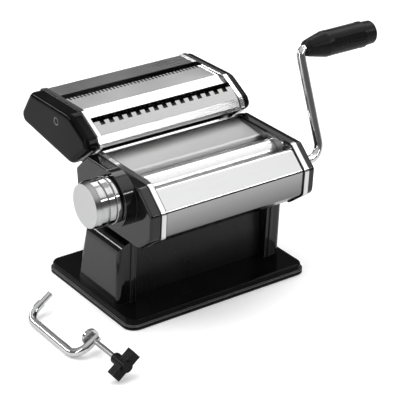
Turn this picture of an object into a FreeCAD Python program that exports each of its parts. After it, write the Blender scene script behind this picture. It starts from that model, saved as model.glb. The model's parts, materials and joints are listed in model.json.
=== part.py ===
import FreeCAD, Part
import math
import os
import re
from types import SimpleNamespace

import Sketcher
from FreeCAD import Placement, Rotation, Vector

# Hand-cranked pasta roller machine with a lift-off cutting unit and a table clamp.
# Millimetres. X runs along the rollers with the crank on +X, -Y is the side where
# the dough comes out, +Z is up, and the origin is the centre of the base's underside.

SIZES = {
    # base
    "base_length": 204, "base_width": 151, "base_height": 10, "base_corner": 12,
    "base_wall": 3, "base_top": 2, "base_step_height": 4, "base_step": 2,
    "underplate_length": 136, "underplate_width": 140, "underplate_gauge": 1.5,
    "pad_radius": 8, "pad_spread_x": 56, "pad_spread_y": 58,
    "clamp_hole_radius": 3.15, "clamp_hole_depth": 22, "clamp_boss_width": 16,
    # pedestal
    "leg_outer": 93, "leg_inner": 74.6, "leg_wall": 2, "leg_corner": 6, "leg_shoulder": 13,
    "leg_neck": 80, "leg_shoulder_top": 74, "leg_boss_radius": 4, "leg_boss_height": 14,
    "bead_outer": 80.6, "bead_inner": 78.4, "bead_rise": 1.2,
    "wall_gauge": 1.2, "front_wall_back": 33, "rear_wall_back": 12,
    # body
    "body_centre": -35, "body_top": 144.2, "body_shoulder": 124.5, "body_waist": 98.9,
    "body_floor": 83, "top_half": 42.8, "shoulder_half": 64.7, "waist_half": 62.7,
    "floor_half": 42, "plate_inner": 76.6, "plate_gauge": 2, "trim_inner": 76,
    "trim_outer": 82, "trim_gauge": 1.5, "cover_end": 79, "cover_gauge": 1,
    "cap_outer_left": 92.4, "cap_outer_right": 89, "cap_inset": 0.8, "cap_wall": 2,
    "cap_bevel": 2.6, "cut_cap_bevel": 5.4,
    "cut_cap_left": 95.4, "cut_cap_right": 90.6,
    # rolling gear
    "roller_radius": 13, "roller_half": 74.4, "journal_radius": 6, "drive_radius": 7,
    "front_axis_y": -75.7, "front_axis_z": 120.9, "rear_axis_y": -50, "rear_axis_z": 126.5,
    "gap_travel": 2.5, "bush_radius": 8.5, "fit_gap": 0.05, "gear_start": 82.5,
    "gear_gauge": 3.6, "roller_teeth": 14, "block_half": 10, "block_flange": 13,
    "rod_radius": 3, "nut_radius": 5.2, "nut_gauge": 3,
    # thickness regulator
    "dial_radius": 26.6, "dial_outer": 104, "dial_steps": 10, "dimple_circle": 15,
    "track_radius": 2.4, "track_depth": 2.1, "shaft_radius": 4, "knob_inner": 105, "knob_outer": 130,
    "knob_radius": 22, "cam_inner": 85.4, "cam_gauge": 3.2, "cam_start": 7,
    "knob_disc": 20, "knob_bevel": 5.4, "knob_sweep": 324,
    # crank
    "crank_radius": 4.2, "socket_radius": 4.3, "socket_end": 64, "crank_reach": 114,
    "crank_arm": 102, "crank_lean": 21, "crank_low_bend": 14, "crank_high_bend": 6,
    "grip_end": 199.8, "grip_radius": 12.8, "neck_radius": 7.4, "grip_cap": 12.4,
    "panel_start": 147, "panel_length": 37, "panel_width": 9, "panel_depth": 0.8,
    "panel_rib": 1, "panel_turn": 73,
    # cutting unit
    "cut_plate_inner": 77.6, "cut_radius": 8.2, "cut_root": 7.1, "cut_spacing": 15.6,
    "cut_journal": 5.6, "wide_axis_y": 36.1, "wide_axis_z": 154.8, "fine_axis_y": 79.1,
    "fine_axis_z": 153.5, "wide_pitch": 9.8, "fine_pitch": 4, "cut_half": 73.5,
    "cut_teeth": 12, "cut_gear_start": 82.4, "cut_gear_gauge": 3.4, "cut_sheet_half": 77.4,
    "side_gap": 0.25, "cap_recess_y": 57, "cap_recess_z": 161, "comb_drop": 8.6,
    "hook_inner": 74.3, "hook_outer": 75.8,
    # clamp
    "clamp_spine_x": -166.6, "clamp_rod_radius": 4, "clamp_tilt": 30.4,
    "clamp_low_arm": -88.5, "clamp_high_arm": -2.8, "clamp_throat": 21.7,
    "clamp_tip_length": 30.2, "clamp_bend": 13.5, "clamp_splay": 5.1, "clamp_tip_radius": 2.8,
    "clamp_ring_radius": 3.05, "clamp_ring_length": 1.4, "clamp_bar_end": 5,
    "screw_radius": 2.4, "pad_disc_radius": 8, "pad_neck_radius": 1.6, "hub_radius": 5.2,
    "bar_half": 14, "bar_gauge": 9, "bar_height": 9.6, "bar_turn": 38,
}

TINY = 1e-6
PRESSURE_ANGLE = math.radians(25)

doc = FreeCAD.newDocument("pasta_roller_machine")
sheet = doc.addObject("Spreadsheet::Sheet", "Sheet")
for row, (alias, value) in enumerate(SIZES.items(), 1):
    sheet.set(f"A{row}", alias)
    sheet.set(f"B{row}", str(value))
    sheet.setAlias(f"B{row}", alias)
doc.recompute()
S = SimpleNamespace(**{alias: float(sheet.get(alias)) for alias in SIZES})
NODES = []


# ---------------------------------------------------------------- outlines

def unit(start, end):
    return Vector(end[0] - start[0], end[1] - start[1], 0).normalize()


def left_normal(start, end):
    run = unit(start, end)
    return Vector(-run.y, run.x, 0)


def offset(points, distance, closed=True):
    """Points moved to the left of their path, which is inwards when it runs counter-clockwise."""
    moved = []
    for i, point in enumerate(points):
        normals = []
        if closed or i > 0:
            normals.append(left_normal(points[i - 1], point))
        if closed or i < len(points) - 1:
            normals.append(left_normal(point, points[(i + 1) % len(points)]))
        reach = (normals[0] + normals[-1]) * (distance / (1 + normals[0].dot(normals[-1])))
        moved.append((point[0] + reach.x, point[1] + reach.y))
    return moved


def round_corner(before, point, after, radius):
    """The corner itself, or the start, middle and end of the arc that rounds it."""
    corner = Vector(*point, 0)
    if radius == 0:
        return [corner]
    back = unit(point, before)
    ahead = unit(point, after)
    half = back.getAngle(ahead) / 2
    bisector = (back + ahead).normalize()
    middle = corner + bisector * (radius / math.sin(half) - radius)
    reach = radius / math.tan(half)
    return [corner + back * reach, middle, corner + ahead * reach]


def path(points, radii=0, closed=True):
    """Sketch geometry: straight runs with tangent arcs at the corners."""
    count = len(points)
    if not isinstance(radii, (list, tuple)):
        radii = [radii] * count
    corners = []
    for i, point in enumerate(points):
        end_point = not closed and i in (0, count - 1)
        radius = 0 if end_point else radii[i]
        corners.append(round_corner(points[i - 1], point, points[(i + 1) % count], radius))
    loop = []
    for i, corner in enumerate(corners):
        if len(corner) == 3:
            loop.append(Part.Arc(*corner))
        if i == count - 1 and not closed:
            break
        following = corners[(i + 1) % count]
        if (corner[-1] - following[0]).Length > TINY:
            loop.append(Part.LineSegment(corner[-1], following[0]))
    return loop


def strip(points, gauge, bend):
    """Closed outline of a bent sheet that thickens to the left of its path."""
    inner = offset(points, gauge, closed=False)
    near = [0]
    far = [0]
    for before, point, after in zip(points, points[1:], points[2:]):
        turns_left = left_normal(before, point).dot(unit(point, after)) > 0
        near.append(bend + gauge if turns_left else bend)
        far.append(bend if turns_left else bend + gauge)
    return path(points + inner[::-1], near + [0, 0] + far[:0:-1] + [0])


def rectangle(low_u, high_u, low_v, high_v):
    return [(low_u, low_v), (high_u, low_v), (high_u, high_v), (low_u, high_v)]


# ---------------------------------------------------------------- building blocks

def formula(text):
    """An expression on the sheet: every name with an underscore is one of its aliases."""
    return re.sub(r"[a-z]+(?:_[a-z]+)+", lambda word: "Sheet." + word.group(), str(text))


def bind(thing, **properties):
    for name, text in properties.items():
        thing.setExpression(name, formula(text))


def place(thing, x=0, y=0, z=0, turn=None):
    if turn:
        thing.Placement = Placement(Vector(), turn)
    for axis, text in (("x", x), ("y", y), ("z", z)):
        thing.setExpression("Placement.Base." + axis, formula(text))
    return thing


def node(label, thing):
    thing.Label = label
    NODES.append(thing)
    return thing


def draw(sketch, loop):
    """Adds one closed or open chain and joins its neighbouring ends."""
    first = sketch.GeometryCount
    sketch.addGeometry(loop, False)
    joints = []
    ends = [(i, end, sketch.getPoint(i, end)) for i in range(first, sketch.GeometryCount)
            for end in (1, 2)]
    for place_in_list, (i, end, point) in enumerate(ends):
        for j, other_end, other in ends[place_in_list + 1:]:
            if i != j and (point - other).Length < TINY:
                joints.append(Sketcher.Constraint("Coincident", i, end, j, other_end))
                break
    if len(loop) > 1:
        sketch.addConstraint(joints)


def ring(sketch, centre, radius):
    """A circle whose radius follows the sheet."""
    index = sketch.addGeometry(Part.Circle(Vector(*centre, 0), Vector(0, 0, 1), 1))
    held = sketch.addConstraint(Sketcher.Constraint("Radius", index, 1))
    sketch.setExpression(f"Constraints[{held}]", formula(radius))


def sketch_in(body, name, plane, start, loops=(), circles=()):
    sketch = body.newObject("Sketcher::SketchObject", name)
    faces = {feature.Role: feature for feature in body.Origin.OriginFeatures}
    sketch.AttachmentSupport = [(faces[plane + "_Plane"], "")]
    sketch.MapMode = "FlatFace"
    sketch.setExpression("AttachmentOffset.Base.z", formula(start))
    for loop in loops:
        draw(sketch, loop)
    for centre, radius in circles:
        ring(sketch, centre, radius)
    return sketch


def slab(name, start, length, loops=(), circles=(), plane="YZ"):
    """A PartDesign body: one sketch padded from start by length along the plane's normal."""
    body = doc.addObject("PartDesign::Body", name)
    sketch = sketch_in(body, name + "_sketch", plane, start, loops, circles)
    pad = body.newObject("PartDesign::Pad", name + "_pad")
    pad.Profile = sketch
    bind(pad, Length=length)
    return body


def turned(name, points, radii=0):
    """A PartDesign body turned about its own X axis: points are (along X, radius)."""
    body = doc.addObject("PartDesign::Body", name)
    sketch = sketch_in(body, name + "_sketch", "XY", 0, [path(points, radii)])
    turn = body.newObject("PartDesign::Revolution", name + "_turn")
    turn.Profile = sketch
    turn.ReferenceAxis = (sketch, ["H_Axis"])
    turn.Angle = 360
    return body


def soften(body, size, chosen, kind="Chamfer"):
    """Chamfers or fillets the edges of the body's tip that the test picks out."""
    doc.recompute()
    tip = body.Tip
    names = [f"Edge{i}" for i, edge in enumerate(tip.Shape.Edges, 1) if chosen(edge)]
    dressing = body.newObject("PartDesign::" + kind, body.Name + "_" + kind.lower())
    dressing.Base = (tip, names)
    if kind == "Chamfer":
        bind(dressing, Size=size)
    else:
        bind(dressing, Radius=size)
    return body


def box(name, x, y, z, length, width, height):
    solid = doc.addObject("Part::Box", name)
    bind(solid, Length=length, Width=width, Height=height)
    return place(solid, x, y, z)


ALONG_X = Rotation(Vector(0, 1, 0), 90)
ALONG_Y = Rotation(Vector(1, 0, 0), -90)
ALONG_Z = Rotation()


def rod(name, radius, length, x, y, z, turn=ALONG_X):
    solid = doc.addObject("Part::Cylinder", name)
    bind(solid, Radius=radius, Height=length)
    return place(solid, x, y, z, turn)


def prism(name, radius, length, x, y, z):
    """A hexagonal nut blank along X."""
    solid = doc.addObject("Part::Prism", name)
    solid.Polygon = 6
    bind(solid, Circumradius=radius, Height=length)
    return place(solid, x, y, z, ALONG_X)


def fuse(name, pieces):
    solid = doc.addObject("Part::MultiFuse", name)
    solid.Shapes = pieces
    return solid


def group(name, pieces):
    """Separate solids that are kept together, such as a set of equal screws."""
    solid = doc.addObject("Part::Compound", name)
    solid.Links = pieces
    return solid


def cut(name, base, tools):
    solid = doc.addObject("Part::Cut", name)
    solid.Base = base
    solid.Tool = tools[0] if len(tools) == 1 else group(name + "_tools", tools)
    return solid


def sided(side, inner, outer):
    """Start and length along X of something between two distances from the middle."""
    start = inner if side > 0 else f"-({outer})"
    return start, f"({outer}) - ({inner})"


def on_plane(edge, axis, value):
    low = getattr(edge.BoundBox, axis + "Min")
    high = getattr(edge.BoundBox, axis + "Max")
    return abs(low - value) < TINY and abs(high - value) < TINY


# ---------------------------------------------------------------- base

def rounded_rectangle(length, width, corner):
    half_length = length / 2
    half_width = width / 2
    return path(rectangle(-half_length, half_length, -half_width, half_width), corner)


LEG_SCREW_X = 84
LEG_SCREW_Y = (-28, 20)
SIDES = {"left": -1, "right": 1}


def build_base():
    """Shallow tray with a stepped rim, open underneath, and its steel underplate."""
    step = 2 * S.base_step
    rim = slab("base_rim", 0, "base_step_height",
               [rounded_rectangle(S.base_length, S.base_width, S.base_corner)], plane="XY")
    deck = slab("base_deck", "base_step_height", "base_height - base_step_height",
                [rounded_rectangle(S.base_length - step, S.base_width - step,
                                   S.base_corner - S.base_step)], plane="XY")
    soften(deck, "base_step", lambda edge: on_plane(edge, "Z", S.base_height), "Fillet")
    wall = 2 * S.base_wall + step
    hollow = slab("base_hollow", -1, "base_height - base_top + 1",
                  [rounded_rectangle(S.base_length - wall, S.base_width - wall,
                                     S.base_corner - S.base_wall)], plane="XY")
    shell = cut("base_shell", fuse("base_block", [rim, deck]), [hollow])
    boss = box("clamp_boss", "base_length/2 - base_wall - clamp_hole_depth", "-clamp_boss_width/2", 0,
               "clamp_hole_depth", "clamp_boss_width", "base_height - base_top")
    hole = rod("clamp_hole", "clamp_hole_radius", "clamp_hole_depth + base_wall",
               "base_length/2 - clamp_hole_depth", 0, "base_height/2 - 0.3")
    drills = [hole]
    for name, side in SIDES.items():
        for number, y in enumerate(LEG_SCREW_Y):
            drills.append(rod(f"leg_drill_{name}_{number}", 1.9, 20, side * LEG_SCREW_X, y, -2, ALONG_Z))
    node("base_tray", cut("base_tray_cut", fuse("base_solid", [shell, boss]), drills))

    plate = box("underplate_blank", "-underplate_length/2", "-underplate_width/2", 0,
                "underplate_length", "underplate_width", "underplate_gauge")
    sockets = []
    pads = []
    for number, (x_sign, y_sign) in enumerate(((-1, -1), (1, -1), (1, 1), (-1, 1))):
        x = f"{x_sign}*pad_spread_x"
        y = f"{y_sign}*pad_spread_y"
        sockets.append(rod(f"pad_socket_{number}", "pad_radius + 0.1", 6, x, y, -2, ALONG_Z))
        pads.append(rod(f"pad_{number}", "pad_radius", 2.5, x, y, 0, ALONG_Z))
    node("base_underplate", cut("underplate_cut", plate, sockets))
    node("rubber_pads", group("pad_group", pads))


# ---------------------------------------------------------------- pedestal

LEG_OUTLINE = [(-47, 82.7), (-42, 10), (33, 10), (24.5, 38), (15.5, 68), (14, 82.7)]
LEG_ROUNDING = [2, 0, 0, 30, 20, 2]


def leg_form(name, side, inset):
    """The leg's outside, or its hollow when inset: a side view crossed with a shouldered front view."""
    outline = offset(LEG_OUTLINE, inset)
    if inset:
        outline[1] = (outline[1][0], 5)
        outline[2] = (outline[2][0] + 1, 5)
    inner = S.leg_inner + 0.85 * inset
    outer = S.leg_outer - inset
    start, length = sided(side, inner, outer)
    blank = slab(name + "_side_view", start, length, [path(outline, LEG_ROUNDING)])
    face = side * outer
    soften(blank, f"leg_corner - {inset}", lambda edge: on_plane(edge, "X", face)
           and edge.BoundBox.YMax < -40 and edge.BoundBox.ZLength > 20, "Fillet")
    neck = S.leg_neck - inset
    shoulder = S.leg_shoulder_top - inset
    front_view = [(side * inner, 0), (side * outer, 0), (side * outer, shoulder),
                  (side * neck, shoulder), (side * neck, 90), (side * inner, 90)]
    round_shoulder = [0, 0, S.leg_shoulder - inset - 1, 3, 0, 0]
    profile = slab(name + "_front_view", -80, 160, [path(front_view, round_shoulder)], plane="XZ")
    both = doc.addObject("Part::MultiCommon", name)
    both.Shapes = [blank, profile]
    return both


def build_leg(name, side):
    """Hollow leg cover, open at the bottom, with a bead down its front and two screw bosses."""
    shell = cut(f"leg_{name}_shell", leg_form(f"leg_{name}_outside", side, 0),
                [leg_form(f"leg_{name}_hollow", side, S.leg_wall)])
    front_top, front_foot = LEG_OUTLINE[:2]
    start, length = sided(side, "bead_inner", "bead_outer")
    top = front_top[1] - 4
    bead = slab(f"leg_{name}_bead", start, length,
                [path([(front_top[0] - S.bead_rise, top), (front_foot[0] - S.bead_rise, front_foot[1]),
                       (front_foot[0] + 1, front_foot[1]), (front_top[0] + 1, top)])])
    pieces = [shell, bead]
    drills = []
    for number, y in enumerate(LEG_SCREW_Y):
        x = f"{side}*{LEG_SCREW_X}"
        pieces.append(rod(f"leg_{name}_boss_{number}", "leg_boss_radius", "leg_boss_height", x, y,
                          "base_height", ALONG_Z))
        start, length = sided(side, LEG_SCREW_X, "leg_outer - 1")
        pieces.append(box(f"leg_{name}_rib_{number}", start, y - 1, "base_height", length, 2,
                          "leg_boss_height"))
        drills.append(rod(f"leg_{name}_thread_{number}", 1.8, "leg_boss_height - 2", x, y,
                          "base_height - 1", ALONG_Z))
    start, length = sided(side, "plate_inner - 0.1", "plate_inner + plate_gauge + 0.1")
    drills.append(box(f"leg_{name}_slot", start, -41, "leg_shoulder_top - 3", length, 48.5, 15))
    node(f"leg_{name}", cut(f"leg_{name}_cut", fuse(f"leg_{name}_solid", pieces), drills))


def build_pedestal():
    for name, side in SIDES.items():
        build_leg(name, side)
    for label, back in (("front_wall", "-front_wall_back"), ("rear_wall", "rear_wall_back")):
        node(label, box(label + "_panel", "-leg_inner + 0.1", back, "base_height",
                        "2*leg_inner - 0.2", "wall_gauge", "body_floor - base_height + 1.2"))
    screws = []
    for name, side in SIDES.items():
        for i, y in enumerate(LEG_SCREW_Y):
            shank = rod(f"leg_screw_{name}_{i}_shank", 1.8, 14, side * LEG_SCREW_X, y, 6, ALONG_Z)
            head = rod(f"leg_screw_{name}_{i}_head", 3.4, 2.4, side * LEG_SCREW_X, y, 5.6, ALONG_Z)
            screws.append(fuse(f"leg_screw_{name}_{i}", [shank, head]))
    node("leg_screws", group("leg_screw_group", screws))


# ---------------------------------------------------------------- body

def body_outline():
    """The six-sided end view of the roller unit, counter-clockwise from its top front."""
    front = [(S.body_centre - S.top_half, S.body_top),
             (S.body_centre - S.shoulder_half, S.body_shoulder),
             (S.body_centre - S.waist_half, S.body_waist),
             (S.body_centre - S.floor_half, S.body_floor)]
    back = [(2 * S.body_centre - y, z) for y, z in front]
    return front + back[::-1]


BODY = body_outline()
BODY_ROUNDING = [5, 5, 9, 12, 12, 9, 5, 5]
TIE_RODS = {"low": (-86, 101), "middle": (-20, 94), "rear": (8, 128)}


def shrunk(radii, distance):
    return [max(radius - distance, 0.5) for radius in radii]


def build_side_plate(name, side):
    """Steel end frame: carries the bearings above and stands inside the leg below."""
    rim = offset(BODY, S.trim_gauge + S.cover_gauge + 0.2)
    foot = [(-40, rim[3][1]), (-37.5, 12), (24, 12), (18, 36), (4, rim[4][1])]
    corners = shrunk(BODY_ROUNDING, 3)
    outline = path(rim[:4] + foot + rim[4:], corners[:4] + [0] * len(foot) + corners[4:])
    start, length = sided(side, "plate_inner", "plate_inner + plate_gauge")
    blank = slab(f"side_plate_{name}_blank", start, length, [outline],
                 [((S.front_axis_y, S.front_axis_z), "bush_radius")]
                 + [(spot, "rod_radius") for spot in TIE_RODS.values()])
    window = box(f"side_plate_{name}_window", f"{side}*plate_inner - 5",
                 "rear_axis_y - block_half - 0.3", "rear_axis_z - block_half - 0.1", 10,
                 "2*block_half + gap_travel + 0.7", "2*block_half + 0.2")
    node(f"side_plate_{name}", cut(f"side_plate_{name}_cut", blank, [window]))


def build_trim(name, side):
    """Bright band round the edge of the roller unit, open where the leg goes up into it."""
    route = BODY[4:] + BODY[:4] + [(-52, S.body_floor)]
    rounding = strip(route, S.trim_gauge, 5)
    start, length = sided(side, "trim_inner", "trim_outer")
    node(f"trim_{name}", slab(f"trim_{name}_band", start, length, [rounding]))


def build_end_cap(name, side):
    """Hollow black end casing with a bevelled rim and a stepped face."""
    outer = f"cap_outer_{name}"
    face = side * getattr(S, outer)
    edge_line = offset(BODY, S.cap_inset)
    start, length = sided(side, "trim_outer", outer)
    blank = slab(f"end_cap_{name}_blank", start, length, [path(edge_line, BODY_ROUNDING)])
    soften(blank, "cap_bevel", lambda edge: on_plane(edge, "X", face), "Fillet")
    inner = offset(BODY, S.cap_inset + S.cap_wall)
    start, length = sided(side, "trim_outer - 1", outer + " - cap_wall")
    hollow = slab(f"end_cap_{name}_hollow", start, length, [path(inner, shrunk(BODY_ROUNDING, 3))])
    openings = [hollow]
    if side < 0:
        openings.append(rod("regulator_hole", "shaft_radius + 0.1", 10, f"-{outer} - 2",
                            "rear_axis_y", "rear_axis_z"))
    else:
        openings.append(rod("crank_hole", "drive_radius + 0.6", 10, f"{outer} - 6",
                            "front_axis_y", "front_axis_z"))
    return cut(f"end_cap_{name}_cut", blank, openings)


def build_body():
    for name, side in SIDES.items():
        build_side_plate(name, side)
        build_trim(name, side)
        node(f"end_cap_{name}", build_end_cap(name, side))
    skin = offset(BODY, S.trim_gauge)
    lip = (skin[0][0] + 3, skin[0][1] - 6)
    cover = [lip] + skin[:4] + [(skin[3][0] + 7, skin[3][1])]
    sheet_body = slab("front_cover_sheet", "-cover_end", "2*cover_end",
                      [strip(cover, S.cover_gauge, 4)])
    notches = [box(f"lip_notch_{name}", f"{side}*(plate_inner + 2.8) - 3", lip[0] - 3.5, lip[1] - 1.5,
                   6, 8, 6.9)
               for name, side in SIDES.items()]
    node("front_cover", cut("front_cover_cut", sheet_body, notches))
    rear = [(skin[4][0] + 1, skin[4][1] + 0.8)] + skin[5:]
    rear_sheet = slab("rear_cover_sheet", "-cover_end", "2*cover_end",
                      [strip(rear, S.cover_gauge, 4)])
    slots = [box(f"hook_slot_{name}", f"{side}*(hook_inner + hook_outer)/2 - 1.05", HOOK_FRONT - 0.4,
                 110, 2.1, HOOK_BACK - HOOK_FRONT + 0.8, 40) for name, side in SIDES.items()]
    node("rear_cover", cut("rear_cover_cut", rear_sheet, slots))
    pan = [(-52, skin[4][1]), (skin[4][0] - 1, skin[4][1])]
    pan_blank = slab("bottom_pan_sheet", "-plate_inner + 0.2", "2*plate_inner - 0.4",
                     [strip(pan, S.cover_gauge, 0)])
    node("bottom_pan", pan_blank)
    slope = [(5.5, skin[7][1] - 1.2), (-34.2, 138.4), (-34.6, 133)]
    node("hopper_plate", slab("hopper_sheet", "-plate_inner + 0.2", "2*plate_inner - 0.4",
                              [strip(slope, S.cover_gauge, 1)]))
    guides = []
    for name, side in SIDES.items():
        start, length = sided(side, "roller_half - 1.4", "plate_inner")
        blank = slab(f"guide_{name}_blank", start, length,
                     [path(rectangle(-69.5, -38, 129, 142.6), [0, 0, 3, 3])])
        round_rollers = [
            rod(f"guide_{name}_front_relief", "roller_radius + 0.5", 10, f"{side}*roller_half - 5",
                "front_axis_y", "front_axis_z"),
            rod(f"guide_{name}_rear_relief", "roller_radius + 0.5", 10, f"{side}*roller_half - 5",
                "rear_axis_y", "rear_axis_z"),
            rod(f"guide_{name}_open_relief", "roller_radius + 0.5", 10, f"{side}*roller_half - 5",
                "rear_axis_y + gap_travel", "rear_axis_z"),
            box(f"guide_{name}_block_relief", f"{side}*(roller_half + 2.8) - 2.5",
                "rear_axis_y - block_half - 2", "rear_axis_z - block_half", 5,
                "2*block_half + 10", "2*block_half + 0.5")]
        guides.append(cut(f"guide_{name}", blank, round_rollers))
    node("hopper_guides", group("guide_group", guides))
    rods = []
    nuts = []
    for label, (y, z) in TIE_RODS.items():
        rods.append(rod(f"tie_rod_{label}", "rod_radius", "2*(plate_inner + plate_gauge + nut_gauge)",
                        "-(plate_inner + plate_gauge + nut_gauge)", y, z))
        for name, side in SIDES.items():
            start, length = sided(side, "plate_inner + plate_gauge",
                                  "plate_inner + plate_gauge + nut_gauge")
            blank = prism(f"tie_nut_{label}_{name}_blank", "nut_radius", length, start, y, z)
            bore = rod(f"tie_nut_{label}_{name}_bore", "rod_radius", 20, f"({start}) - 5", y, z)
            nuts.append(cut(f"tie_nut_{label}_{name}", blank, [bore]))
    node("tie_rods", group("tie_rod_group", rods))
    node("tie_rod_nuts", group("tie_nut_group", nuts))


# ---------------------------------------------------------------- gears and rollers

def involute(radius, base):
    """Angle by which an involute flank has swung round at a radius."""
    slope = math.sqrt(max((radius / base) ** 2 - 1, 0))
    return slope - math.atan(slope)


def gear_outline(teeth, pitch_radius, centre, turn):
    """Spur gear with stub involute teeth, one of them pointing along turn (radians)."""
    module = 2 * pitch_radius / teeth
    base = pitch_radius * math.cos(PRESSURE_ANGLE)
    tip = pitch_radius + 0.75 * module
    root = pitch_radius - 1.1 * module
    flank_play = 0.09
    half_tooth = math.pi / (2 * teeth) - flank_play / pitch_radius + involute(pitch_radius, base)
    steps = 4
    flank = [(root, half_tooth)]
    for step in range(steps + 1):
        radius = base + (tip - base) * step / steps
        flank.append((radius, half_tooth - involute(radius, base)))
    points = []
    for tooth in range(teeth):
        middle = turn + 2 * math.pi * tooth / teeth
        points += [(radius, middle - spread) for radius, spread in flank]
        points += [(radius, middle + spread) for radius, spread in flank[::-1]]
    return path([(centre[0] + radius * math.cos(angle), centre[1] + radius * math.sin(angle))
                 for radius, angle in points])


FRONT_AXIS = (S.front_axis_y, S.front_axis_z)
REAR_AXIS = (S.rear_axis_y, S.rear_axis_z)
ROLLER_RISE = math.atan2(REAR_AXIS[1] - FRONT_AXIS[1], REAR_AXIS[0] - FRONT_AXIS[0])
ROLLER_SPACING = math.dist(FRONT_AXIS, REAR_AXIS)


def build_roller_gear(label, centre, turn, bore):
    teeth = int(S.roller_teeth)
    node(label, slab(label + "_wheel", "gear_start", "gear_gauge",
                     [gear_outline(teeth, ROLLER_SPACING / 2, centre, turn)], [(centre, bore)]))


def build_front_roller():
    """Driven roller with a stepped journal and the crank socket in its right end."""
    drum = rod("front_drum", "roller_radius", "2*roller_half", "-roller_half",
               "front_axis_y", "front_axis_z")
    left = rod("front_left_journal", "journal_radius", "trim_outer - roller_half", "-trim_outer",
               "front_axis_y", "front_axis_z")
    right = rod("front_right_journal", "drive_radius", "gear_start + gear_gauge + 0.5 - roller_half",
                "roller_half", "front_axis_y", "front_axis_z")
    socket = rod("crank_socket", "socket_radius", 30, "socket_end",
                 "front_axis_y", "front_axis_z")
    node("front_roller", cut("front_roller_cut", fuse("front_solid", [drum, left, right]), [socket]))
    build_roller_gear("front_gear", FRONT_AXIS, ROLLER_RISE, "drive_radius")
    bushes = []
    for name, side in SIDES.items():
        bore = ("journal_radius" if side < 0 else "drive_radius") + " + fit_gap"
        sleeve_start, sleeve = sided(side, "plate_inner - 1.2", "plate_inner + plate_gauge")
        flange_start, flange = sided(side, "plate_inner + plate_gauge", "trim_outer")
        barrel = rod(f"bush_{name}_barrel", "bush_radius", sleeve, sleeve_start,
                     "front_axis_y", "front_axis_z")
        collar = rod(f"bush_{name}_collar", "bush_radius + 2", flange, flange_start,
                     "front_axis_y", "front_axis_z")
        drill = rod(f"bush_{name}_bore", bore, 20, f"({sleeve_start}) - 5",
                    "front_axis_y", "front_axis_z")
        bushes.append(cut(f"bush_{name}", fuse(f"bush_{name}_solid", [barrel, collar]), [drill]))
    node("front_bushes", group("bush_group", bushes))


def build_bearing_block(name, side):
    """Sliding bearing of the rear roller: its core rides in the side plate's window."""
    core_start, core = sided(side, "roller_half + 0.5", "plate_inner + plate_gauge + 0.3")
    flange_start, flange = sided(side, "plate_inner + plate_gauge + 0.3", "trim_outer")
    core_box = box(f"block_{name}_core", core_start, "rear_axis_y - block_half",
                   "rear_axis_z - block_half", core, "2*block_half", "2*block_half")
    flange_box = box(f"block_{name}_flange", flange_start, "rear_axis_y - block_flange",
                     "rear_axis_z - block_flange", flange, "2*block_flange", "2*block_flange")
    pieces = [core_box, flange_box]
    drill = rod(f"block_{name}_bore", "journal_radius + fit_gap", 30, f"{side}*80 - 15",
                "rear_axis_y", "rear_axis_z")
    if side < 0:
        pieces.append(rod("cam_follower", 1.5, 6.4, -88.3, "rear_axis_y + cam_start + 1.8",
                          "rear_axis_z"))
    node(f"bearing_block_{name}", cut(f"block_{name}_cut", fuse(f"block_{name}_solid", pieces), [drill]))


def build_rear_roller():
    drum = rod("rear_drum", "roller_radius", "2*roller_half", "-roller_half",
               "rear_axis_y", "rear_axis_z")
    shaft = rod("rear_shaft", "journal_radius", "trim_outer + 0.4 + gear_start + gear_gauge",
                "-trim_outer - 0.4", "rear_axis_y", "rear_axis_z")
    node("rear_roller", fuse("rear_solid", [drum, shaft]))
    gap_turn = math.pi / S.roller_teeth
    build_roller_gear("rear_gear", REAR_AXIS, ROLLER_RISE + math.pi + gap_turn, "journal_radius")
    for name, side in SIDES.items():
        build_bearing_block(name, side)


def build_scrapers():
    """Thin blades that peel the dough off the underside of each roller."""
    front = [(-94.6, 104), (-88, 108), (-84.4, 110)]
    node("front_scraper", slab("front_scraper_blade", "-plate_inner + 0.2",
                               "2*plate_inner - 0.4", [strip(front, 0.6, 1)]))
    rear = [(-43.8, 114.3), (-40.6, 112.8), (-40.6, 108.4)]
    node("rear_scraper", slab("rear_scraper_blade", "-roller_half + 0.2",
                              "2*roller_half - 0.4", [strip(rear[::-1], 0.6, 1)]))


# ---------------------------------------------------------------- thickness regulator

def build_dial():
    """Round black boss on the left cap with the ring of dimples for the knob's detent."""
    disc = rod("dial_disc", "dial_radius", "dial_outer - cap_outer_left", "-dial_outer",
               "rear_axis_y", "rear_axis_z")
    bore = rod("dial_bore", "shaft_radius + 0.1", 30, "-dial_outer - 5", "rear_axis_y", "rear_axis_z")
    track_outer = rod("dial_track_outer", "dimple_circle + track_radius", "track_depth + 1",
                      "-dial_outer - 1", "rear_axis_y", "rear_axis_z")
    track_inner = rod("dial_track_inner", "dimple_circle - track_radius", 6, "-dial_outer - 2",
                      "rear_axis_y", "rear_axis_z")
    track = cut("dial_track", track_outer, [track_inner])
    dimples = []
    for step in range(int(S.dial_steps)):
        angle = 2 * math.pi * step / S.dial_steps
        ball = doc.addObject("Part::Sphere", f"dimple_{step}")
        bind(ball, Radius="track_radius - 0.4")
        place(ball, "-dial_outer + track_depth", f"rear_axis_y + dimple_circle*{math.cos(angle):.6f}",
              f"rear_axis_z + dimple_circle*{math.sin(angle):.6f}")
        dimples.append(ball)
    node("dial_boss", cut("dial_cut", disc, [bore, track] + dimples))


def snail(start_radius, rise, sweep_deg, centre):
    """Spiral cam whose radius grows evenly with its angle, then drops back."""
    steps = 30
    points = []
    for i in range(steps + 1):
        angle = math.radians(sweep_deg + 6) * i / steps
        radius = start_radius + rise * math.degrees(angle) / sweep_deg
        points.append((centre[0] + radius * math.cos(angle), centre[1] + radius * math.sin(angle)))
    return path(points)


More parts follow.
